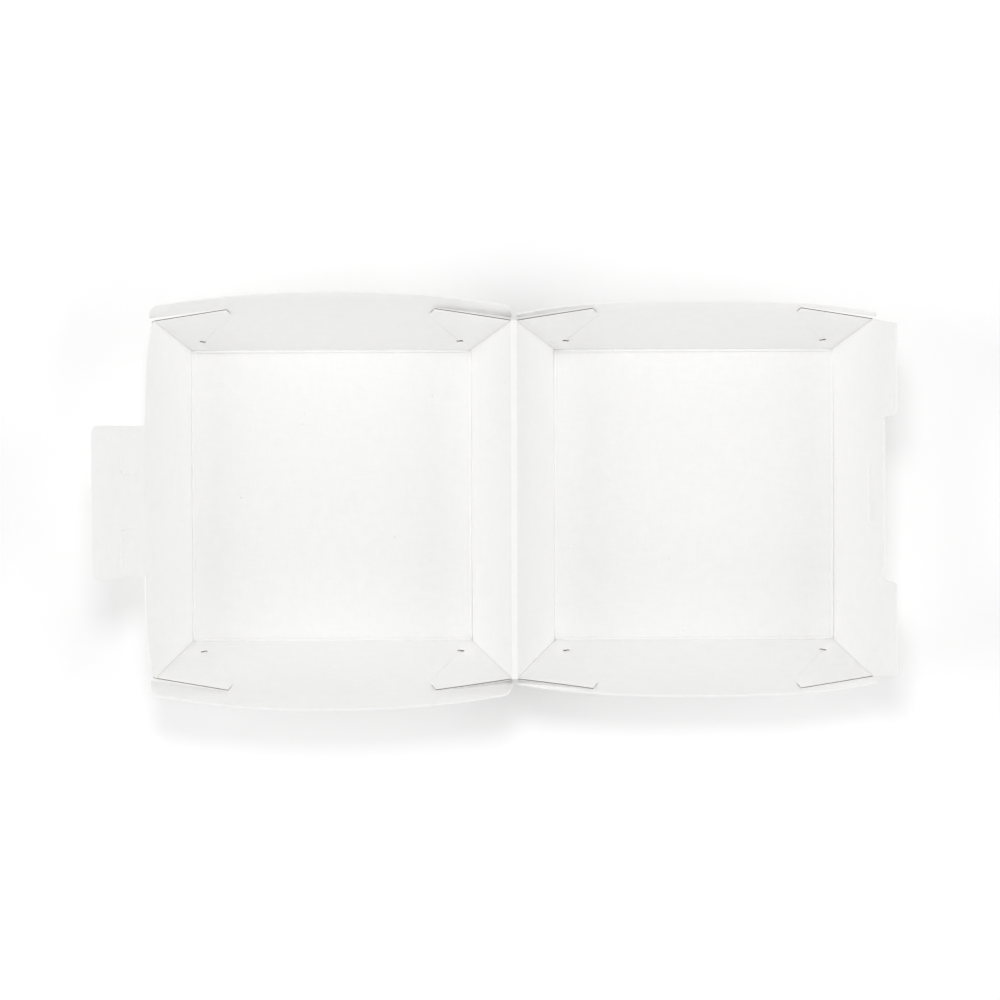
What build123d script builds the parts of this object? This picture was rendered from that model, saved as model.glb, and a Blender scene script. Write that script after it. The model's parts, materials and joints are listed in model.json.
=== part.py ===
"""One-piece folded card burger box, opened flat: base tray, lid tray and tuck flap."""

import os

from build123d import *

# Board
board = 0.6
overrun = 20.0

# Floors, the same in both trays
floor_length = 116.5
floor_width = 121.0

# Spine and hinge walls, x is measured from the hinge line
spine_half = 0.5
hinge_run = 16.4
hinge_height = 40.0

# Front walls at their corners
front_run = 14.6
front_height = 31.0

# Side walls: how far they lean out, and where the corner webs end
side_run = 13.2
side_slope_run = 20.9
side_slope_height = 38.2

# Corner web: cut shoulder B and cut end C, along the wall and out from the fold
shoulder_along = 15.4
shoulder_run = 17.9
web_along = 18.0
web_run = 15.4
cut_gap = 0.85

# Relief slit at the foot of each web crease
relief_share = 0.28
relief_length = 2.8
relief_width = 1.5

# Seam where a web meets its end wall, open on the inside
seam_width = 0.3
seam_depth_share = 0.7

# Ends of the rim strips, which spring up towards the webs
strip_share = 0.2
hinge_lift = 7.5
front_lift = 5.4
end_gap = 1.4

# Glue flap behind each web, as shares of the web's corners
glue_mitre_share = 0.92
glue_top_share = 0.80
glue_foot_share = 0.12

# Base side rim
base_end_out = 15.6
base_end_run = 15.9
base_mid_along = 14.0
base_mid_run = 19.7
base_crown_run = 20.9

# Lid side rim, with broad rounded ends
lid_end_out = 16.2
lid_end_run = 20.3
lid_end_round = 6.5
lid_mid_along = 14.0
lid_mid_run = 23.4
lid_crown_run = 25.4

# Base front rim: ears, recess and slit
ear_run = 23.3
ear_inset = 1.6
ear_round = 1.8
recess_half = 34.0
recess_run = 18.6
recess_round = 3.0
slit_half = 11.6
slit_run = 13.2
slit_width = 1.0

# Lid front rim
lid_front_end_run = 15.3
lid_front_end_inset = 0.8
lid_front_crown_run = 18.3

# Tuck flap
flap_half = 31.6
flap_root_half = 30.8
flap_lean_share = 0.88
flap_root_length = 12.4
flap_lip_length = 15.4
flap_round = 4.0
tongue_half = 11.3
tongue_length = 8.0
tongue_flare = 1.6
tongue_turn = 3.0
kerf = 0.25

# Stations along the box
floor_start = spine_half + hinge_run
floor_end = floor_start + floor_length
half_width = floor_width / 2
rise_share = side_slope_height / side_slope_run
hinge_share = hinge_height / hinge_run
front_share = front_height / front_run


def side_point(along, run):
    """A point on the outside of the side wall."""
    return Vector(floor_start + along, half_width + run, run * rise_share)


def front_point(across, run):
    """A point on the outside of the front wall."""
    return Vector(floor_end + run, across, run * front_share)


def hinge_point(across, run):
    """A point on the outside of the hinge wall."""
    return Vector(floor_start - run, across, run * hinge_share)


def lines(*points):
    """Straight edges through a row of points."""
    return [Edge.make_line(a, b) for a, b in zip(points, points[1:])]


def rounded(start, corner, end):
    """A rounded corner that leaves and meets its neighbours smoothly."""
    return Edge.make_bezier(start, corner, end)


def between(start, end, share):
    """A point part of the way from start to end."""
    return start + (end - start) * share


def toward(start, end, length):
    """A point a set length along the line from start to end."""
    return start + (end - start).normalized() * length


def upward(face):
    """The face's normal on the side that looks up, into the tray."""
    normal = face.normal_at()
    return normal if normal.Z > 0 else normal * -1


def sheet(edges, thickness):
    """A flat piece of board on a closed outline, thickened towards the inside."""
    face = Face(Wire(edges))
    return Solid.extrude(face, upward(face) * thickness)


def cutter(edges):
    """A prism through a panel on a closed outline."""
    face = Face(Wire(edges))
    way = upward(face) * overrun
    return Solid.extrude(face.moved(Location(way * -1)), way + way)


def strip_outline(start, end, across, width):
    """A thin closed rectangle along a line, for a slit."""
    out = across.normalized() * (width / 2)
    return lines(start - out, end - out, end + out, start + out, start - out)


def web(fold, crease_end, shoulder, mitre_end):
    """The flat corner web and the glue flap behind it."""
    plane_normal = (crease_end - fold).cross(mitre_end - fold)
    drop = (shoulder - fold).dot(plane_normal) / plane_normal.Z
    lip = shoulder - Vector(0, 0, drop)
    inner = sheet(lines(fold, crease_end, lip, mitre_end, fold), board)
    foot = between(fold, mitre_end, glue_foot_share)
    top = between(fold, mitre_end, glue_mitre_share)
    far_top = between(top, between(fold, lip, glue_mitre_share), glue_top_share)
    far_foot = between(foot, between(fold, crease_end, glue_top_share), glue_top_share)
    outer = sheet(lines(foot, far_foot, far_top, top, foot), -board)
    return inner.fuse(outer)


def relief(fold, crease_end, away):
    """The short slit across the foot of a web crease."""
    along = crease_end - fold
    start = between(fold, crease_end, relief_share)
    across = (away - along * (away.dot(along) / along.dot(along))).normalized()
    half = across * (relief_length / 2)
    return cutter(strip_outline(start - half, start + half, along, relief_width))


def seam(fold, crease_end, mitre_end, wall_corners):
    """The narrow groove between a web's cut edge and the end wall it is glued to."""
    wall = sheet(lines(*wall_corners, wall_corners[0]), board)
    slot = sheet(lines(*wall_corners, wall_corners[0]), board + seam_width).cut(wall)
    face = Face(Wire(lines(fold, crease_end, mitre_end, fold)))
    raised = face.moved(Location(upward(face) * (board * (1 - seam_depth_share))))
    return slot.intersect(Solid.extrude(raised, upward(face) * board)).solids()


def sprung(bend_foot, bend_top, end, height):
    """A rule that lifts points evenly from a bend line, by the full height at the strip's end."""
    line = bend_top - bend_foot
    across = Vector(-line.Y, line.X, 0)
    full = (end - bend_foot).dot(across)

    def lift(point):
        share = (point - bend_foot).dot(across) / full
        return point + Vector(0, 0, height * share)

    return lift


def strip_end(bend_foot, bend_top, end, crown, height):
    """The end of a rim strip, bent up along a line from the corner cut to the rim."""
    lift = sprung(bend_foot, bend_top, end[0], height)
    low = [lift(point) for point in end]
    edge = lines(*low) if len(low) == 2 else [rounded(*low)]
    rim = Edge.make_spline([lift(crown.position_at(share)) for share in (0, 1 / 2, 1)])
    return sheet(lines(bend_top, bend_foot, low[0]) + edge + [rim], board)


def side_wall(hinge_end, crown, front_end):
    """One side wall with its rim strip, its two webs, their seams and slits."""
    hinge_fold = side_point(0, 0)
    front_fold = side_point(floor_length, 0)
    hinge_cut = side_point(web_along, web_run)
    front_cut = side_point(floor_length - web_along, web_run)
    hinge_shoulder = side_point(shoulder_along, shoulder_run)
    front_shoulder = side_point(floor_length - shoulder_along, shoulder_run)
    raised = side_point(0, cut_gap) - side_point(0, 0)
    hinge_bend = hinge_shoulder + raised
    front_bend = front_shoulder + raised
    main = crown.trim(strip_share, 1 - strip_share)
    hinge_top = main.position_at(0)
    front_top = main.position_at(1)
    outline = lines(
        front_top,
        front_bend,
        front_cut,
        front_fold,
        hinge_fold,
        hinge_cut,
        hinge_bend,
        hinge_top,
    )
    panel = sheet(outline + [main], board)
    hinge_crown = crown.trim(0, strip_share)
    front_crown = crown.trim(1 - strip_share, 1)
    strips = [
        strip_end(hinge_bend, hinge_top, hinge_end, hinge_crown, hinge_lift),
        strip_end(front_bend, front_top, front_end, front_crown, front_lift),
    ]
    hinge_mitre = Vector(spine_half, half_width + side_run, hinge_height)
    front_mitre = front_point(half_width + side_run, front_run)
    webs = [
        web(hinge_fold, hinge_cut, hinge_shoulder, hinge_mitre),
        web(front_fold, front_cut, front_shoulder, front_mitre),
    ]
    slits = [
        relief(hinge_fold, hinge_cut, front_fold - hinge_fold),
        relief(front_fold, front_cut, hinge_fold - front_fold),
    ]
    return panel.fuse(*strips, *webs).cut(*slits)


def corner_seams():
    """The seams at one side wall's two corners."""
    hinge_fold = side_point(0, 0)
    front_fold = side_point(floor_length, 0)
    hinge_mitre = hinge_point(half_width + side_run, hinge_run)
    front_mitre = front_point(half_width + side_run, front_run)
    hinge_wall = (hinge_fold, hinge_mitre, hinge_point(0, hinge_run), hinge_point(0, 0))
    front_wall = (front_fold, front_mitre, front_point(0, front_run), front_point(0, 0))
    hinge_seam = seam(hinge_fold, side_point(web_along, web_run), hinge_mitre, hinge_wall)
    front_cut = side_point(floor_length - web_along, web_run)
    return hinge_seam + seam(front_fold, front_cut, front_mitre, front_wall)


def base_side_rim():
    """Low arched rim with square ends: its hinge end, its crown and its front end."""
    far = floor_length + base_end_out
    start = side_point(-base_end_out, side_run + end_gap)
    end = side_point(far, side_run + end_gap)
    first = side_point(-base_end_out, base_end_run)
    last = side_point(far, base_end_run)
    crown = Edge.make_spline(
        [
            first,
            side_point(base_mid_along, base_mid_run),
            side_point(floor_length / 2, base_crown_run),
            side_point(floor_length - base_mid_along, base_mid_run),
            last,
        ]
    )
    return [start, first], crown, [end, last]


def lid_side_rim():
    """Tall arched rim with broad rounded ends: its hinge end, its crown and its front end."""
    far = floor_length + lid_end_out
    start = side_point(-lid_end_out, side_run + end_gap)
    end = side_point(far, side_run + end_gap)
    corner = side_point(-lid_end_out, lid_end_run)
    far_corner = side_point(far, lid_end_run)
    first = side_point(lid_end_round - lid_end_out, lid_end_run)
    last = side_point(far - lid_end_round, lid_end_run)
    crown = Edge.make_spline(
        [
            first,
            side_point(lid_mid_along, lid_mid_run),
            side_point(floor_length / 2, lid_crown_run),
            side_point(floor_length - lid_mid_along, lid_mid_run),
            last,
        ]
    )
    return [start, corner, first], crown, [end, far_corner, last]


def base_front():
    """Front wall with two ears, the recess between them and the tongue slit."""
    reach = half_width + side_run
    half = []
    for sign in (-1, 1):
        fold = front_point(sign * half_width, 0)
        mitre = front_point(sign * reach, front_run)
        tip = front_point(sign * (reach - ear_inset), ear_run)
        inner = front_point(sign * recess_half, ear_run)
        foot = front_point(sign * recess_half, recess_run)
        floor_of = front_point(sign * (recess_half - recess_round), recess_run)
        tip_in = toward(tip, mitre, ear_round)
        tip_out = toward(tip, inner, ear_round)
        ear_end = front_point(sign * (recess_half + recess_round), ear_run)
        half.append(
            lines(fold, mitre, tip_in)
            + [rounded(tip_in, tip, tip_out)]
            + lines(tip_out, ear_end)
            + [rounded(ear_end, inner, between(inner, foot, 1 / 2))]
            + [rounded(between(inner, foot, 1 / 2), foot, floor_of)]
        )
    low, high = half
    outline = low + high
    outline += lines(low[-1].position_at(1), high[-1].position_at(1))
    outline += lines(low[0].position_at(0), high[0].position_at(0))
    wall = sheet(outline, board)
    start = front_point(-slit_half, slit_run)
    end = front_point(slit_half, slit_run)
    up = front_point(0, slit_run) - front_point(0, 0)
    return wall.cut(cutter(strip_outline(start, end, up, slit_width)))


def lid_front():
    """Front wall with a gently bowed rim, straight where the tuck flap hinges."""
    reach = half_width + side_run
    outline = lines(
        front_point(-reach, front_run),
        front_point(-half_width, 0),
        front_point(half_width, 0),
        front_point(reach, front_run),
    )
    for sign in (-1, 1):
        mitre = front_point(sign * reach, front_run)
        tip = front_point(sign * (reach - lid_front_end_inset), lid_front_end_run)
        edge = front_point(sign * flap_root_half, lid_front_crown_run)
        level = front_point(sign * half_width, lid_front_crown_run)
        outline += lines(mitre, tip)
        outline.append(Edge.make_bezier(tip, level, edge))
    root = [front_point(sign * flap_root_half, lid_front_crown_run) for sign in (-1, 1)]
    return sheet(outline + lines(*root), board)


def tray(rim, front):
    """A tray on the +X side of the hinge line: floor, walls and half of the spine."""
    floor = Pos(floor_start, -half_width, 0) * Solid.make_box(floor_length, floor_width, board)
    reach = half_width + side_run
    hinge_wall = sheet(
        lines(
            hinge_point(-half_width, 0),
            hinge_point(-reach, hinge_run),
            hinge_point(reach, hinge_run),
            hinge_point(half_width, 0),
            hinge_point(-half_width, 0),
        ),
        board,
    )
    spine_reach = spine_half + board
    spine = Pos(0, -reach, hinge_height - board) * Solid.make_box(spine_reach, reach * 2, board)
    side = side_wall(*rim)
    seams = corner_seams()
    body = floor.fuse(hinge_wall, front, spine, side, side.mirror(Plane.XZ))
    body = body.cut(*seams, *[groove.mirror(Plane.XZ) for groove in seams])
    level = Pos(-overrun, -reach, hinge_height) * Solid.make_box(
        floor_start + overrun, reach * 2, overrun
    )
    return body.cut(level)


def tuck_flap():
    """The tuck flap: a rounded root bead, the flat flap and the two hook cuts of its tongue."""
    up = (front_point(0, front_run) - front_point(0, 0)).normalized()
    inward = Vector(-up.Z, 0, up.X)
    root = front_point(0, lid_front_crown_run) + (up + inward) * (board / 2)
    lean = Vector(1, 0, flap_lean_share).normalized()
    through = Vector(-lean.Z, 0, lean.X)
    tip_length = flap_root_length + flap_lip_length

    def point(across, length):
        return root + lean * length + Vector(0, across, 0)

    outline = lines(point(flap_root_half, 0), point(-flap_root_half, 0))
    for sign in (-1, 1):
        foot = point(sign * flap_root_half, 0)
        corner = point(sign * flap_half, tip_length)
        before = toward(corner, foot, flap_round)
        after = point(sign * (flap_half - flap_round), tip_length)
        outline += lines(foot, before) + [rounded(before, corner, after)]
    reach = flap_half - flap_round
    outline += lines(point(-reach, tip_length), point(reach, tip_length))
    plate = sheet(outline, board).moved(Location(through * (-board / 2)))
    bead = Solid.make_cylinder(
        board / 2,
        flap_root_half * 2,
        Plane(origin=point(-flap_root_half, 0), z_dir=(0, 1, 0)),
    )
    hooks = []
    for sign in (-1, 1):
        sides = []
        for edge in (-kerf / 2, kerf / 2):
            start = point(sign * (tongue_half + tongue_flare), flap_root_length - edge)
            turn = point(sign * (tongue_half + edge), flap_root_length - edge)
            straight = point(sign * (tongue_half + edge), flap_root_length - tongue_turn)
            end = point(sign * (tongue_half + edge), flap_root_length - tongue_length)
            sides.append([rounded(start, turn, straight)] + lines(straight, end))
        near, far = sides
        ends = lines(near[0].position_at(0), far[0].position_at(0))
        ends += lines(near[-1].position_at(1), far[-1].position_at(1))
        hooks.append(cutter(near + far + ends))
    return plate.fuse(bead).cut(*hooks)


os.makedirs("parts", exist_ok=True)

# The frame's origin is the middle of the base's underside
to_frame = Location((-floor_start - floor_length / 2, 0, 0))

base_tray = tray(base_side_rim(), base_front())
export_step(base_tray.moved(to_frame), "parts/base_tray.step")

lid_tray = tray(lid_side_rim(), lid_front()).mirror(Plane.YZ)
export_step(lid_tray.moved(to_frame), "parts/lid_tray.step")

flap = tuck_flap().mirror(Plane.YZ)
export_step(flap.moved(to_frame), "parts/tuck_flap.step")
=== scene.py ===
"""A plain white card burger box, opened flat: looks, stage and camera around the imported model."""

import json
from math import cos, pi, radians, sin

import bmesh
import bpy
from bpy.props import FloatProperty, FloatVectorProperty, IntProperty, PointerProperty
from bpy.types import Operator, Panel, PropertyGroup
from mathutils import Matrix, Vector, noise
from mathutils.bvhtree import BVHTree


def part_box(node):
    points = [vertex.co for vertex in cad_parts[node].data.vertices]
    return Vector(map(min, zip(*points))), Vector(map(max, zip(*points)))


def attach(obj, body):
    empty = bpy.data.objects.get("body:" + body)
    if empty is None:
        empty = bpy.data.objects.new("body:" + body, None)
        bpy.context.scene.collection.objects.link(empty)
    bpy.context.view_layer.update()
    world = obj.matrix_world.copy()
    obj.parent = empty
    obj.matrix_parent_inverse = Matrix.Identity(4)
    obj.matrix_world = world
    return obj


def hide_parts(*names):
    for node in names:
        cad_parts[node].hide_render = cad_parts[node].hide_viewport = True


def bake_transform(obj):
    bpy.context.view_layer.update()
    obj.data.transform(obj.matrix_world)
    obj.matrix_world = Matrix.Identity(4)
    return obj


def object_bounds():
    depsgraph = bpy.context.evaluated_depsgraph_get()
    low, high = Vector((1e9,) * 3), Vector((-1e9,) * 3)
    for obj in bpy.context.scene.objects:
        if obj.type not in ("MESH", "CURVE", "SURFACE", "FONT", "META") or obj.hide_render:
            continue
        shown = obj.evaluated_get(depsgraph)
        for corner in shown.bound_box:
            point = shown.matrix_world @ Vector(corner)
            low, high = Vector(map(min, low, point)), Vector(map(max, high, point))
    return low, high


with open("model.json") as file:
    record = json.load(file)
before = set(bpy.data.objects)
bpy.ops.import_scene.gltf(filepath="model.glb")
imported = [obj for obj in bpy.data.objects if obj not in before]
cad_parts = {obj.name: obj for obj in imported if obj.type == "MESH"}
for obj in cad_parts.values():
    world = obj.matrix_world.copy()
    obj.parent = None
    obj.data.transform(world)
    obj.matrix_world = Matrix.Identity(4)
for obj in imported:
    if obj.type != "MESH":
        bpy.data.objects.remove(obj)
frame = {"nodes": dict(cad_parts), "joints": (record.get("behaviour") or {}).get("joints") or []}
cad_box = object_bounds()

bl_info = {
    "name": "Card Burger Box",
    "version": (1, 0, 0),
    "blender": (4, 5, 0),
    "location": "3D View > Sidebar > Burger Box",
    "description": "Dresses a one-piece card burger box and sets its studio",
    "category": "Object",
}

TRAYS = {"base_tray": "base", "lid_tray": "lid"}
FLAPS = {"tuck_flap": "flap"}

# Places in a sheet's list of materials of its face, its cut edge, and the painted shadow in its
# slits.
FACE, EDGE, SLIT_SHADOW = range(3)

UP = Vector((0, 0, 1))
WHITE = (1, 1, 1, 1)

# How close points count as one, in metres.
MERGE_DISTANCE = 0.00001
GRID_SNAP = 0.00002
SLIT_SNAP = 0.000002

# Angles that tell flat card, scores, folds and cut edges apart.
FLAT_ANGLE = radians(0.6)
SCORE_ANGLES = radians(2), radians(20)
FOLD_ANGLE = radians(20)
CUT_ANGLE = radians(40)
SHARP_ANGLE = radians(28)

# How far a face's normal points up: at least a little inside a tray, and nearly all on a floor.
INSIDE_RISE = 0.2
FLOOR_RISE = 0.999
# A cut face whose normal has less than this across is level, and isn't a slit's.
SLIT_ACROSS = 0.1
# Height from which the card beyond a slit is looked for, above all of it.
LOOK_HEIGHT = 1.0
# Heights between which a corner score's lower end lies.
SCORE_HEIGHTS = 0.003, 0.02

# Segments of the rounded folds and of the softened cut edges, and their round profile.
FOLD_SEGMENTS, EDGE_SEGMENTS = 3, 2
ROUND_PROFILE = 0.5

# A bead's sides and fewest steps, its size at the ends, how uneven it is and how closely.
BEAD_SIDES, BEAD_LEAST_STEPS = 10, 4
BEAD_END = 0.3
BEAD_SWELL, BEAD_SWELL_PITCH = 0.18, 160
# Share of the way to the flap's edge that the beads on its crease go.
CREASE_SHARE = 0.99

# A bending strip's rows, its half thickness in board thicknesses, how uneven it is and how closely.
STRIP_ROWS = 40
STRIP_HALF = 0.53
STRIP_SWELL, STRIP_SWELL_PITCH = 0.06, 120
# Steps from the spine's middle to each side, and how proud its middle stands.
SPINE_STEPS = 6
SPINE_PROUD = 0.00008

# Patterns in the board: how the strands, clouds and fibres break up.
STRAND_PATTERN = {"Scale": 1.0, "Detail": 3.0, "Roughness": 0.6}
CLOUD_PATTERN = {"Detail": 5.0, "Roughness": 0.62}
FIBRE_PATTERN = {"Detail": 4.0, "Roughness": 0.7}
# The two directions of strands in equal parts, and their share against the clouds.
CROSS_SHARE, STRAND_SHARE = 0.5, 0.65
# Stretch of the pattern over which the board goes from its darker to its lighter shade, and both.
SHADE_STRETCH = 0.35, 0.65
SHADES = 0.975, 1.018
# Stretch over which a speck fades, and its colour against the board's.
SPECK_STRETCH = 0.012, 0.03
SPECK_TINT = (0.72, 0.70, 0.66, 1)

# The floor lies this far under the box, and the lens sees this far.
FLOOR_GAP = 0.0001
CLIP_END = 100


class CardSettings(PropertyGroup):
    """Board and creases."""

    tint: FloatVectorProperty(
        name="Board tint", description="Colour of the bleached board",
        subtype="COLOR", size=3, min=0, max=1, default=(0.91, 0.908, 0.9))
    edge_tint: FloatVectorProperty(
        name="Cut edge tint", description="Colour of the fibres at a die-cut edge",
        subtype="COLOR", size=3, min=0, max=1, default=(0.93, 0.928, 0.92))
    # The slit colour is painted shadow: a near-black stand-in for the shade in the gap between the
    # sheets, not the board's own core.
    slit_shadow_tint: FloatVectorProperty(
        name="Slit tint",
        description="Colour of the board's core where a slit has card on both sides",
        subtype="COLOR", size=3, min=0, max=1, default=(0.17, 0.15, 0.13))
    slit_look: FloatProperty(
        name="Slit look",
        description="How far past a cut the card on the slit's other side is looked for",
        unit="LENGTH", precision=4, default=0.0025)
    slit_start: FloatProperty(
        name="Slit start",
        description="From the box's middle line to where the dark corner slits begin",
        unit="LENGTH", precision=4, default=0.03)
    # Share of a slit's face, from the outside, that is painted with the shadow colour; the rest
    # keeps the cut edge's colour.
    slit_shadow_share: FloatProperty(
        name="Slit core",
        description="Share of a slit's face, from the outside, that shows the dark core",
        subtype="FACTOR", min=0, max=1, default=0.65)
    roughness: FloatProperty(
        name="Roughness", description="How matt the uncoated board is",
        subtype="FACTOR", min=0, max=1, default=0.72)
    gloss: FloatProperty(
        name="Gloss", description="Strength of the board's faint shine",
        subtype="FACTOR", min=0, max=1, default=0.32)
    face_grain: FloatProperty(
        name="Face grain", description="How strongly the fibres stand out on the board's face",
        subtype="FACTOR", min=0, max=1, default=0.25)
    cut_grain: FloatProperty(
        name="Cut grain", description="How strongly the fibres stand out where the board is cut",
        subtype="FACTOR", min=0, max=1, default=0.6)
    grain_height: FloatProperty(
        name="Grain height", description="Height of the fibres at full strength",
        unit="LENGTH", precision=5, default=0.0002)
    speck_density: FloatProperty(
        name="Speck density", description="Places to a metre at which a dark speck may lie",
        min=0, default=90.0)
    fibre_size: FloatProperty(
        name="Fibre size", description="Length of the paper's finest visible fibres",
        unit="LENGTH", precision=5, default=0.0007)
    strand_width: FloatProperty(
        name="Strand width", description="Width of the long strands that cross in the sheet",
        unit="LENGTH", precision=5, default=0.0006)
    strand_length: FloatProperty(
        name="Strand length", description="Length of the long strands that cross in the sheet",
        unit="LENGTH", precision=4, default=0.008)
    cloud_size: FloatProperty(
        name="Cloud size", description="Width of the soft clouds in the sheet",
        unit="LENGTH", precision=4, default=0.004)
    wave_height: FloatProperty(
        name="Wave height", description="How far a panel strays from dead flat",
        unit="LENGTH", precision=5, default=0.00022)
    wave_length: FloatProperty(
        name="Wave length", description="Distance between the panel's soft waves",
        unit="LENGTH", precision=4, default=0.046)
    wave_seed: IntProperty(
        name="Wave seed", description="Picks one of the many ways in which the panels can wave",
        min=1, default=3)
    grid_pitch: FloatProperty(
        name="Panel grid", description="Spacing of the cuts that let a panel wave",
        unit="LENGTH", precision=4, default=0.006)
    fold_round: FloatProperty(
        name="Fold rounding", description="Rounding on the outside of a fold",
        unit="LENGTH", precision=5, default=0.00022)
    edge_round: FloatProperty(
        name="Edge rounding", description="Softening of a die-cut edge",
        unit="LENGTH", precision=5, default=0.00007)
    cut_width: FloatProperty(
        name="Cut face width", description="Faces narrower than this are cut edges of the board",
        unit="LENGTH", precision=5, default=0.00078)
    bead_radius: FloatProperty(
        name="Crease bead", description="Radius of the bead that a fold pushes up inside the tray",
        unit="LENGTH", precision=5, default=0.00062)
    score_radius: FloatProperty(
        name="Score bead", description="Radius of the faint bead on a corner score",
        unit="LENGTH", precision=5, default=0.00016)
    lip_radius: FloatProperty(
        name="Lip bead", description="Radius of the bead on the tuck flap's crease",
        unit="LENGTH", precision=5, default=0.0003)
    bead_rise: FloatProperty(
        name="Bead rise", description="How far a fold's bead stands up out of its corner",
        unit="LENGTH", precision=5, default=0.0004)
    bead_taper: FloatProperty(
        name="Bead taper", description="Length over which a bead's end fades into the corner",
        unit="LENGTH", precision=4, default=0.005)
    bead_step: FloatProperty(
        name="Bead step", description="Spacing of the rings along a bead",
        unit="LENGTH", precision=4, default=0.003)
    thickness: FloatProperty(
        name="Board thickness", description="Thickness of the board",
        unit="LENGTH", precision=5, default=0.0006)
    fold_reach: FloatProperty(
        name="Fold reach", description="How far a moving fold's strip reaches on to each side",
        unit="LENGTH", precision=5, default=0.0011)
    fold_room: FloatProperty(
        name="Fold room",
        description="How far the half spines keep back from the plane in which they meet",
        unit="LENGTH", precision=5, default=0.00012)
    fold_zone: FloatProperty(
        name="Fold zone",
        description="How near a moving fold the sheets lie still and keep back from each other",
        unit="LENGTH", precision=4, default=0.006)
    lip_share: FloatProperty(
        name="Lip crease",
        description="Place of the lip's crease, as a share of the flap's length from its root",
        subtype="FACTOR", min=0, max=1, default=0.446)
    tongue_half: FloatProperty(
        name="Tongue half width",
        description="From the flap's middle to the hook cuts, where the lip's crease stops",
        unit="LENGTH", precision=4, default=0.0135)
    root_half: FloatProperty(
        name="Flap root half width",
        description="From the flap's middle to the end of its root fold",
        unit="LENGTH", precision=4, default=0.0305)
    wall_lean: FloatProperty(
        name="Front wall slope", description="Slope of the lid's front wall from the level",
        subtype="ANGLE", default=radians(64.8))


class StageSettings(PropertyGroup):
    """Camera, lamps and floor."""

    view_distance: FloatProperty(
        name="View distance", description="From the lens to the hinge line",
        unit="LENGTH", default=3.0)
    view_tilt: FloatProperty(
        name="View tilt", description="Lean of the view towards the far side",
        subtype="ANGLE", default=radians(2.80))
    view_side: FloatProperty(
        name="View side", description="Lean of the view towards the lid",
        subtype="ANGLE", default=radians(0.77))
    view_roll: FloatProperty(
        name="View roll", description="Turn of the picture about the view line",
        subtype="ANGLE", default=radians(0.19))
    picture_width: FloatProperty(
        name="Picture width", description="Width of the scene that the picture takes in",
        unit="LENGTH", default=0.41554)
    offset_right: FloatProperty(
        name="Offset right",
        description="How far right of the middle the hinge line sits, as a share of the picture",
        subtype="FACTOR", min=-0.1, max=0.1, default=0.013)
    offset_up: FloatProperty(
        name="Offset up",
        description="How far above the middle the hinge line sits, as a share of the picture",
        subtype="FACTOR", min=-0.1, max=0.1, default=0.005)
    key_power: FloatProperty(
        name="Key power",
        description="Power of the large soft lamp overhead, towards the far side",
        unit="POWER", default=12.3)
    key_place: FloatVectorProperty(
        name="Key place", description="From the box's middle to the lamp overhead",
        subtype="TRANSLATION", size=3, default=(-0.1, 0.95, 2.1))
    key_size: FloatProperty(
        name="Key size", description="Side of the lamp overhead",
        unit="LENGTH", default=0.6)
    left_power: FloatProperty(
        name="Left power", description="Power of the soft lamp on the lid's side",
        unit="POWER", default=11.2)
    left_place: FloatVectorProperty(
        name="Left place", description="From the box's middle to the lamp on the lid's side",
        subtype="TRANSLATION", size=3, default=(-1.7, 0.0, 1.2))
    right_power: FloatProperty(
        name="Right power", description="Power of the soft lamp on the base's side",
        unit="POWER", default=10.6)
    right_place: FloatVectorProperty(
        name="Right place", description="From the box's middle to the lamp on the base's side",
        subtype="TRANSLATION", size=3, default=(1.7, 0.0, 1.2))
    near_power: FloatProperty(
        name="Near power", description="Power of the weak lamp on the viewer's side",
        unit="POWER", default=7.2)
    near_place: FloatVectorProperty(
        name="Near place", description="From the box's middle to the lamp on the viewer's side",
        subtype="TRANSLATION", size=3, default=(0.0, -2.0, 0.7))
    fill_size: FloatProperty(
        name="Fill size", description="Side of the left, right and near lamps",
        unit="LENGTH", default=1.2)
    sky_level: FloatProperty(
        name="Sky level", description="Strength of the even light from all round",
        min=0, default=0.518)
    floor_tint: FloatVectorProperty(
        name="Floor tint", description="Colour of the studio floor",
        subtype="COLOR", size=3, min=0, max=1, default=(0.93, 0.93, 0.93))
    floor_lift: FloatProperty(
        name="Floor lift", description="White that the camera sees added to the floor",
        min=0, max=1, default=0.065)
    floor_size: FloatProperty(
        name="Floor size", description="Side of the studio floor",
        unit="LENGTH", default=12.0)


def joint_point(name):
    """Where a joint's axis passes, in metres."""
    return Vector(next(j["pos_m"] for j in frame["joints"] if j["name"] == name))


def flap_lean():
    """The tuck flap's root, and its direction and length from root to tip."""
    root = joint_point("tuck_fold")
    low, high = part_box("tuck_flap")
    tip = Vector((low.x, 0, high.z))
    return root, (tip - root).normalized(), (tip - root).length


def add_node(tree, kind, **inputs):
    """A shader node with its input values set by name."""
    node = tree.nodes.new(kind)
    for name, value in inputs.items():
        node.inputs[name.replace("_", " ")].default_value = value
    return node


def two_tone(tree, pattern, stretch, colours):
    """Turns a pattern into two colours that meet over a stretch of it."""
    ramp = tree.nodes.new("ShaderNodeValToRGB")
    for stop, place, colour in zip(list(ramp.color_ramp.elements), stretch, colours):
        stop.position = place
        stop.color = colour
    tree.links.new(pattern, ramp.inputs["Fac"])
    return ramp.outputs["Color"]


def strands(tree, place, along, settings):
    """Long thin strands of pulp that run along one axis of the sheet."""
    wide, long = 1 / settings.strand_width, 1 / settings.strand_length
    scale = [long if axis == along else wide for axis in range(3)]
    mapping = add_node(tree, "ShaderNodeMapping", Scale=scale)
    pulp = add_node(tree, "ShaderNodeTexNoise", **STRAND_PATTERN)
    tree.links.new(place, mapping.inputs["Vector"])
    tree.links.new(mapping.outputs["Vector"], pulp.inputs["Vector"])
    return pulp.outputs["Fac"]


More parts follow.
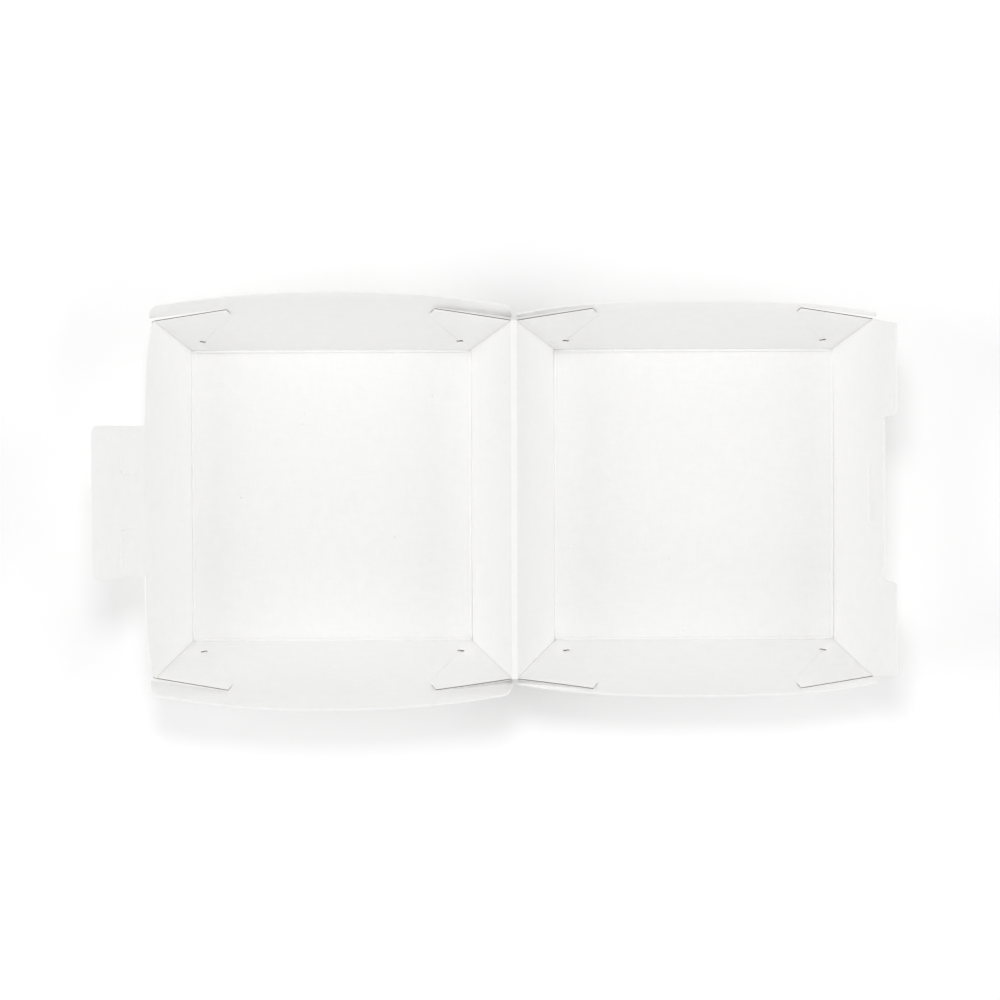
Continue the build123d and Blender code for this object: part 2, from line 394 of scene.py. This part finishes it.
def card_material(name, tint, settings, fibre_depth):
    """Bleached board: soft clouds and crossing strands of pulp, fine fibres and rare specks."""
    material = bpy.data.materials.new(name)
    material.use_nodes = True
    tree = material.node_tree
    shader = tree.nodes["Principled BSDF"]
    shader.inputs["Roughness"].default_value = settings.roughness
    shader.inputs["Specular IOR Level"].default_value = settings.gloss
    place = tree.nodes.new("ShaderNodeTexCoord").outputs["Object"]
    clouds = add_node(tree, "ShaderNodeTexNoise", Scale=1 / settings.cloud_size, **CLOUD_PATTERN)
    fibres = add_node(tree, "ShaderNodeTexNoise", Scale=1 / settings.fibre_size, **FIBRE_PATTERN)
    specks = add_node(tree, "ShaderNodeTexVoronoi", Scale=settings.speck_density)
    for pattern in (clouds, fibres, specks):
        tree.links.new(place, pattern.inputs["Vector"])
    crossed, mixed = (tree.nodes.new("ShaderNodeMix") for _ in range(2))
    crossed.inputs["Factor"].default_value = CROSS_SHARE
    mixed.inputs["Factor"].default_value = STRAND_SHARE
    tree.links.new(strands(tree, place, 0, settings), crossed.inputs["A"])
    tree.links.new(strands(tree, place, 1, settings), crossed.inputs["B"])
    tree.links.new(clouds.outputs["Fac"], mixed.inputs["A"])
    tree.links.new(crossed.outputs["Result"], mixed.inputs["B"])
    shades = [(*(shade * c for c in tint), 1) for shade in SHADES]
    pulp = two_tone(tree, mixed.outputs["Result"], SHADE_STRETCH, shades)
    spots = two_tone(tree, specks.outputs["Distance"], SPECK_STRETCH, (SPECK_TINT, WHITE))
    blend = tree.nodes.new("ShaderNodeMix")
    blend.data_type = "RGBA"
    blend.blend_type = "MULTIPLY"
    blend.inputs["Factor"].default_value = 1.0
    tree.links.new(pulp, blend.inputs["A"])
    tree.links.new(spots, blend.inputs["B"])
    tree.links.new(blend.outputs["Result"], shader.inputs["Base Color"])
    grain = add_node(tree, "ShaderNodeBump", Strength=fibre_depth, Distance=settings.grain_height)
    tree.links.new(fibres.outputs["Fac"], grain.inputs["Height"])
    tree.links.new(grain.outputs["Normal"], shader.inputs["Normal"])
    return material


def board_materials(settings):
    """The board's face, its cut edge and the painted shadow in its slits, made once."""
    # The third look is painted shadow for the slits, far darker than the board's own colour.
    looks = (("board_face", settings.tint, settings.face_grain),
             ("board_edge", settings.edge_tint, settings.cut_grain),
             ("board_slit_shadow", settings.slit_shadow_tint, settings.cut_grain))
    return [bpy.data.materials.get(name) or card_material(name, tint, settings, depth)
            for name, tint, depth in looks]


def to_mesh(source, name):
    """A mesh from edited geometry, smooth but for its sharp edges."""
    bmesh.ops.recalc_face_normals(source, faces=source.faces)
    for face in source.faces:
        face.smooth = True
    mesh = bpy.data.meshes.new(name)
    source.to_mesh(mesh)
    source.free()
    mesh.set_sharp_from_angle(angle=SHARP_ANGLE)
    return mesh


def new_piece(name, source, materials):
    """A card object of the box, made from edited geometry."""
    mesh = to_mesh(source, name)
    piece = bpy.data.objects.new(name, mesh)
    bpy.context.scene.collection.objects.link(piece)
    for material in materials:
        mesh.materials.append(material)
    return piece


def is_cut_face(face, settings):
    """True for a narrow face, which is a cut edge of the board."""
    around = sum(edge.calc_length() for edge in face.edges)
    return 2 * face.calc_area() / around < settings.cut_width


def is_slit_face(face, tree, settings):
    """True for a cut face in the open with more card close by on its other side, as in a slit."""
    out = Vector((face.normal.x, face.normal.y, 0))
    if out.length < SLIT_ACROSS:
        return False
    centre = face.calc_center_median()
    if abs(centre.y) < settings.slit_start:
        return False
    clear = centre + face.normal * settings.edge_round
    if tree.ray_cast(clear, UP)[0]:
        return False
    beyond = centre + out.normalized() * settings.slit_look
    return tree.ray_cast(Vector((beyond.x, beyond.y, LOOK_HEIGHT)), -UP)[0] is not None


def paint_slit_shadow(sheet, face, settings):
    """Parts a slit's face along its length: the light cut edge above and painted shadow below, for
    the shade deep in the gap.
    """
    longest = max(face.edges, key=lambda edge: edge.calc_length())
    along = (longest.verts[1].co - longest.verts[0].co).normalized()
    up = face.normal.cross(along)
    up = up if up.z > 0 else -up
    heights = [up.dot(vert.co) for vert in face.verts]
    level = min(heights) + settings.slit_shadow_share * (max(heights) - min(heights))
    parts = bmesh.ops.bisect_plane(sheet, geom=[face, *face.edges, *face.verts], dist=SLIT_SNAP,
                                   plane_co=up * level, plane_no=up)["geom"]
    for part in parts:
        if isinstance(part, bmesh.types.BMFace):
            above = up.dot(part.calc_center_median()) > level
            # The lower part of the slit's face gets the painted shadow.
            part.material_index = EDGE if above else SLIT_SHADOW


def folded_sheet(node, settings):
    """The panels of a folded sheet as one clean mesh, with the cut edges marked by material."""
    sheet = bmesh.new()
    sheet.from_mesh(node.data)
    bmesh.ops.remove_doubles(sheet, verts=sheet.verts, dist=MERGE_DISTANCE)
    bmesh.ops.dissolve_limit(sheet, angle_limit=FLAT_ANGLE, verts=sheet.verts, edges=sheet.edges)
    tree = BVHTree.FromBMesh(sheet)
    cuts = [face for face in sheet.faces if is_cut_face(face, settings)]
    for face in cuts:
        face.material_index = EDGE
    # Cut faces with more card across a narrow gap get painted shadow on their lower part.
    for face in [face for face in cuts if is_slit_face(face, tree, settings)]:
        paint_slit_shadow(sheet, face, settings)
    return sheet


def on_cut(edge):
    """True for an edge with a cut face beside it."""
    return any(face.material_index != FACE for face in edge.link_faces)


def inner_folds(sheet):
    """The lines along which two panels meet inside the tray: the floor's folds, and the scores."""
    folds, scores = [], []
    halfway = joint_point("lid_hinge").z / 2
    for edge in sheet.edges:
        if len(edge.link_faces) != 2 or on_cut(edge):
            continue
        rises = [face.normal.z for face in edge.link_faces]
        if min(rises) < INSIDE_RISE:
            continue
        start, end = (v.co.copy() for v in edge.verts)
        if max(rises) > FLOOR_RISE:
            if max(start.z, end.z) < halfway:
                up = sum((face.normal for face in edge.link_faces), Vector()).normalized()
                folds.append((start, end, up))
        elif (SCORE_ANGLES[0] < edge.calc_face_angle(0) < SCORE_ANGLES[1]
              and SCORE_HEIGHTS[0] < min(start.z, end.z) < SCORE_HEIGHTS[1]):
            scores.append((start, end))
    return folds, scores


def round_edges(sheet, edges, offset, segments):
    """Rounds some of a sheet's edges."""
    bmesh.ops.bevel(sheet, geom=edges, offset=offset, offset_type="OFFSET", segments=segments,
                    profile=ROUND_PROFILE, affect="EDGES", clamp_overlap=True)


def soften(sheet, settings):
    """Rounds the outside of the folds and takes the hardness off the cut edges."""
    folds = [edge for edge in sheet.edges if len(edge.link_faces) == 2 and edge.is_convex
             and not on_cut(edge) and edge.calc_face_angle(0) > FOLD_ANGLE]
    round_edges(sheet, folds, settings.fold_round, FOLD_SEGMENTS)
    cuts = [edge for edge in sheet.edges if len(edge.link_faces) == 2
            and edge.calc_face_angle(0) > CUT_ANGLE and on_cut(edge)]
    round_edges(sheet, cuts, settings.edge_round, EDGE_SEGMENTS)


def fold_line(node_name, settings):
    """A sheet's moving fold: a point on it, the way into the sheet, and the room left there."""
    if node_name in FLAPS:
        root, lean, _ = flap_lean()
        return root, lean, lean * settings.thickness / 2
    away = Vector((1 if TRAYS[node_name] == "base" else -1, 0, 0))
    return joint_point("lid_hinge"), away, (away - UP) * settings.fold_room


def wave(sheet, node_name, settings):
    """Cuts the panels by a grid and lets them wave a little inside the box's own bounds."""
    low, high = cad_box
    root, away, room = fold_line(node_name, settings)
    noise.seed_set(settings.wave_seed)
    for axis in (0, 1):
        normal = Vector((axis == 0, axis == 1, 0))
        at = low[axis] + settings.grid_pitch
        while at < high[axis]:
            geometry = sheet.verts[:] + sheet.edges[:] + sheet.faces[:]
            bmesh.ops.bisect_plane(sheet, geom=geometry, dist=GRID_SNAP,
                                   plane_co=normal * at, plane_no=normal)
            at += settings.grid_pitch
    for vert in sheet.verts:
        stray = noise.noise_vector(vert.co / settings.wave_length) * settings.wave_height
        stray.z *= min(1, vert.co.z / settings.wave_height)
        share = min(1, max(0, away.dot(vert.co - root)) / settings.fold_zone)
        moved = vert.co + stray * share ** 2 + room * (1 - share)
        vert.co = Vector(min(max(moved[i], low[i]), high[i]) for i in range(3))


def bead(target, start, end, radius, settings):
    """A low, slightly uneven ridge along a crease, partly sunk in the board, with tapered ends."""
    line = end - start
    along = line.normalized()
    side = along.orthogonal().normalized()
    up = along.cross(side)
    count = max(BEAD_LEAST_STEPS, round(line.length / settings.bead_step))
    turns = [2 * pi * k / BEAD_SIDES for k in range(BEAD_SIDES)]
    rings = []
    for step in range(count + 1):
        share = step / count
        centre = start + line * share
        from_end = min(share, 1 - share) * line.length
        taper = min(1, BEAD_END + from_end / settings.bead_taper)
        swell = 1 + BEAD_SWELL * noise.noise(centre * BEAD_SWELL_PITCH)
        size = radius * taper * swell
        rings.append([target.verts.new(centre + size * (cos(turn) * side + sin(turn) * up))
                      for turn in turns])
    for first, second in zip(rings, rings[1:]):
        for k in range(BEAD_SIDES):
            after = k + 1 - BEAD_SIDES
            target.faces.new((first[k], first[after], second[after], second[k]))
    target.faces.new(rings[0][::-1])
    target.faces.new(rings[-1])


def dress(node_name, body, settings):
    """Makes the look of one folded sheet from its solid, and the beads along its folds."""
    sheet = folded_sheet(frame["nodes"][node_name], settings)
    folds, scores = inner_folds(sheet)
    soften(sheet, settings)
    wave(sheet, node_name, settings)
    piece = new_piece(node_name + "_card", sheet, board_materials(settings))
    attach(piece, body)
    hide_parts(node_name)
    if folds or scores:
        beads = bmesh.new()
        for start, end, up in folds:
            rise = up * settings.bead_rise
            bead(beads, start + rise, end + rise, settings.bead_radius, settings)
        for start, end in scores:
            bead(beads, start, end, settings.score_radius, settings)
        piece = new_piece(node_name + "_folds", beads, board_materials(settings)[:1])
        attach(piece, body)


def fold_strip(name, path, reach, settings):
    """A strip of board along a moving fold, which bends between the two bodies that it joins."""
    strip = bmesh.new()
    half = settings.thickness * STRIP_HALF
    rings = []
    for row in range(STRIP_ROWS + 1):
        across = Vector((0, reach * (2 * row / STRIP_ROWS - 1), 0))
        top, bottom = [], []
        for i, point in enumerate(path):
            line = path[min(i + 1, len(path) - 1)] - path[max(i - 1, 0)]
            out = Vector((0, 1, 0)).cross(line).normalized()
            out = out if out.z > 0 else -out
            swell = 1 + STRIP_SWELL * noise.noise((point + across) * STRIP_SWELL_PITCH)
            top.append(strip.verts.new(point + across + out * half * swell))
            bottom.append(strip.verts.new(point + across - out * half))
        rings.append(top + bottom[::-1])
    for first, second in zip(rings, rings[1:]):
        for k in range(len(first)):
            strip.faces.new((first[k - 1], first[k], second[k], second[k - 1]))
    strip.faces.new(rings[0])
    strip.faces.new(rings[-1][::-1])
    piece = new_piece(name, strip, board_materials(settings)[:1])
    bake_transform(piece)


def spine_path(settings):
    """Across the spine from the base to the lid, a little proud in the middle."""
    hinge = joint_point("lid_hinge")
    path = []
    for step in range(-SPINE_STEPS, SPINE_STEPS + 1):
        share = step / SPINE_STEPS
        height = hinge.z - settings.thickness / 2 + SPINE_PROUD * cos(share * pi / 2)
        path.append(Vector((hinge.x - share * settings.fold_reach, 0, height)))
    return path


def root_path(settings):
    """From the top of the lid's front wall round into the tuck flap."""
    root, lean, _ = flap_lean()
    wall = Vector((cos(settings.wall_lean), 0, -sin(settings.wall_lean)))
    reach = settings.fold_reach
    wall_half, lean_half = root + wall * reach / 2, root + lean * reach / 2
    bend = (wall_half + 2 * root + lean_half) / 4
    return [root + wall * reach, wall_half, bend, lean_half, root + lean * reach]


class CLAMSHELL_OT_trays(Operator):
    """Dress the base tray and the lid tray as folded card"""

    bl_idname = "clamshell.trays"
    bl_label = "Trays"

    def execute(self, context):
        for node_name, body in TRAYS.items():
            dress(node_name, body, context.scene.clamshell_card)
        return {"FINISHED"}


class CLAMSHELL_OT_flap(Operator):
    """Dress the tuck flap as folded card"""

    bl_idname = "clamshell.flap"
    bl_label = "Tuck flap"

    def execute(self, context):
        card = context.scene.clamshell_card
        for node_name, body in FLAPS.items():
            dress(node_name, body, card)
        root, lean, length = flap_lean()
        up = Vector((lean.z, 0, -lean.x))
        line = root + lean * length * card.lip_share + up * card.thickness / 2
        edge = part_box("tuck_flap")[1].y
        creases = bmesh.new()
        for sign in (-1, 1):
            near = Vector((0, sign * card.tongue_half, 0))
            far = Vector((0, sign * edge * CREASE_SHARE, 0))
            bead(creases, line + near, line + far, card.lip_radius, card)
        piece = new_piece("tuck_flap_creases", creases, board_materials(card)[:1])
        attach(piece, "flap")
        return {"FINISHED"}


class CLAMSHELL_OT_folds(Operator):
    """Lay the strips of board that bend at the spine and at the tuck flap's root"""

    bl_idname = "clamshell.folds"
    bl_label = "Moving folds"

    def execute(self, context):
        card = context.scene.clamshell_card
        hinge = joint_point("lid_hinge")
        at_hinge = [vert.co.y for vert in frame["nodes"]["base_tray"].data.vertices
                    if abs(vert.co.x - hinge.x) < card.thickness]
        fold_strip("spine_fold", spine_path(card), max(at_hinge), card)
        fold_strip("flap_fold", root_path(card), card.root_half, card)
        return {"FINISHED"}


def view_turn(stage):
    """From the box's frame to the camera's own axes."""
    tilt = Matrix.Rotation(stage.view_tilt, 3, "X")
    side = Matrix.Rotation(stage.view_side, 3, "Y")
    roll = Matrix.Rotation(stage.view_roll, 3, "Z")
    return roll @ side @ tilt


def add_camera(stage):
    """A long lens looking nearly straight down at the hinge line."""
    lens = bpy.data.cameras.new("camera")
    camera = bpy.data.objects.new("camera", lens)
    bpy.context.scene.collection.objects.link(camera)
    turn = view_turn(stage).transposed()
    target = Vector((joint_point("lid_hinge").x, 0, 0))
    place = target + turn @ Vector((0, 0, stage.view_distance))
    camera.matrix_world = Matrix.Translation(place) @ turn.to_4x4()
    lens.lens = lens.sensor_width * stage.view_distance / stage.picture_width
    lens.shift_x = -stage.offset_right
    lens.shift_y = -stage.offset_up
    lens.clip_end = CLIP_END
    bpy.context.scene.camera = camera


def add_lamp(name, offset, size, power):
    """A square soft lamp, placed from the box's middle and aimed at it."""
    light = bpy.data.lights.new(name, "AREA")
    light.size = size
    light.energy = power
    lamp = bpy.data.objects.new(name, light)
    bpy.context.scene.collection.objects.link(lamp)
    middle = (cad_box[0] + cad_box[1]) / 2
    place = middle + Vector(offset)
    lamp.location = place
    lamp.rotation_euler = (middle - place).to_track_quat("-Z", "Y").to_euler()


def floor_material(stage):
    """A matt white floor that the lens sees as white and that keeps the shadow."""
    material = bpy.data.materials.new("studio_floor")
    material.use_nodes = True
    tree = material.node_tree
    shader = tree.nodes["Principled BSDF"]
    shader.inputs["Base Color"].default_value = (*stage.floor_tint, 1)
    shader.inputs["Roughness"].default_value = 1.0
    shader.inputs["Specular IOR Level"].default_value = 0.0
    shader.inputs["Emission Color"].default_value = WHITE
    rays = tree.nodes.new("ShaderNodeLightPath")
    mirrored, seen, lift = (tree.nodes.new("ShaderNodeMath") for _ in range(3))
    mirrored.operation = seen.operation = "MAXIMUM"
    tree.links.new(rays.outputs["Is Glossy Ray"], mirrored.inputs[0])
    tree.links.new(rays.outputs["Is Transmission Ray"], mirrored.inputs[1])
    tree.links.new(rays.outputs["Is Camera Ray"], seen.inputs[0])
    tree.links.new(mirrored.outputs["Value"], seen.inputs[1])
    lift.operation = "MULTIPLY"
    lift.inputs[1].default_value = stage.floor_lift
    tree.links.new(seen.outputs["Value"], lift.inputs[0])
    tree.links.new(lift.outputs["Value"], shader.inputs["Emission Strength"])
    return material


def add_floor(stage):
    """A wide plain floor just under the box."""
    mesh = bpy.data.meshes.new("studio_floor")
    half = stage.floor_size / 2
    corners = [(-half, -half, 0), (half, -half, 0), (half, half, 0), (-half, half, 0)]
    mesh.from_pydata(corners, [], [(0, 1, 2, 3)])
    floor = bpy.data.objects.new("studio_floor", mesh)
    bpy.context.scene.collection.objects.link(floor)
    floor.location.z = cad_box[0].z - FLOOR_GAP
    mesh.materials.append(floor_material(stage))


def add_sky(stage):
    """Even light from all round."""
    world = bpy.data.worlds.new("studio")
    bpy.context.scene.world = world
    world.use_nodes = True
    sky = world.node_tree.nodes["Background"]
    sky.inputs["Color"].default_value = WHITE
    sky.inputs["Strength"].default_value = stage.sky_level


class CLAMSHELL_OT_stage(Operator):
    """Set the floor, the soft lamps and the camera"""

    bl_idname = "clamshell.stage"
    bl_label = "Studio"

    def execute(self, context):
        stage = context.scene.clamshell_stage
        add_floor(stage)
        add_sky(stage)
        add_lamp("key_lamp", stage.key_place, stage.key_size, stage.key_power)
        add_lamp("left_lamp", stage.left_place, stage.fill_size, stage.left_power)
        add_lamp("right_lamp", stage.right_place, stage.fill_size, stage.right_power)
        add_lamp("near_lamp", stage.near_place, stage.fill_size, stage.near_power)
        add_camera(stage)
        context.scene.view_settings.view_transform = "Standard"
        return {"FINISHED"}


BOX_STEPS = CLAMSHELL_OT_trays, CLAMSHELL_OT_flap, CLAMSHELL_OT_folds


class CLAMSHELL_PT_sidebar(Panel):
    """Lists the box's settings and steps"""

    bl_idname = "CLAMSHELL_PT_sidebar"
    bl_label = "Card burger box"
    bl_space_type = "VIEW_3D"
    bl_region_type = "UI"
    bl_category = "Burger Box"

    def draw(self, context):
        for settings, steps in (
            (context.scene.clamshell_card, BOX_STEPS),
            (context.scene.clamshell_stage, (CLAMSHELL_OT_stage,)),
        ):
            column = self.layout.box().column()
            for name in settings.__annotations__:
                column.prop(settings, name)
            for step in steps:
                column.operator(step.bl_idname)


CLASSES = CardSettings, StageSettings, *BOX_STEPS, CLAMSHELL_OT_stage, CLAMSHELL_PT_sidebar


def register():
    for cls in CLASSES:
        bpy.utils.register_class(cls)
    bpy.types.Scene.clamshell_card = PointerProperty(type=CardSettings)
    bpy.types.Scene.clamshell_stage = PointerProperty(type=StageSettings)


def unregister():
    del bpy.types.Scene.clamshell_stage
    del bpy.types.Scene.clamshell_card
    for cls in reversed(CLASSES):
        bpy.utils.unregister_class(cls)


def main():
    register()
    bpy.ops.clamshell.trays()
    bpy.ops.clamshell.flap()
    bpy.ops.clamshell.folds()
    bpy.ops.clamshell.stage()


if __name__ == "__main__":
    main()
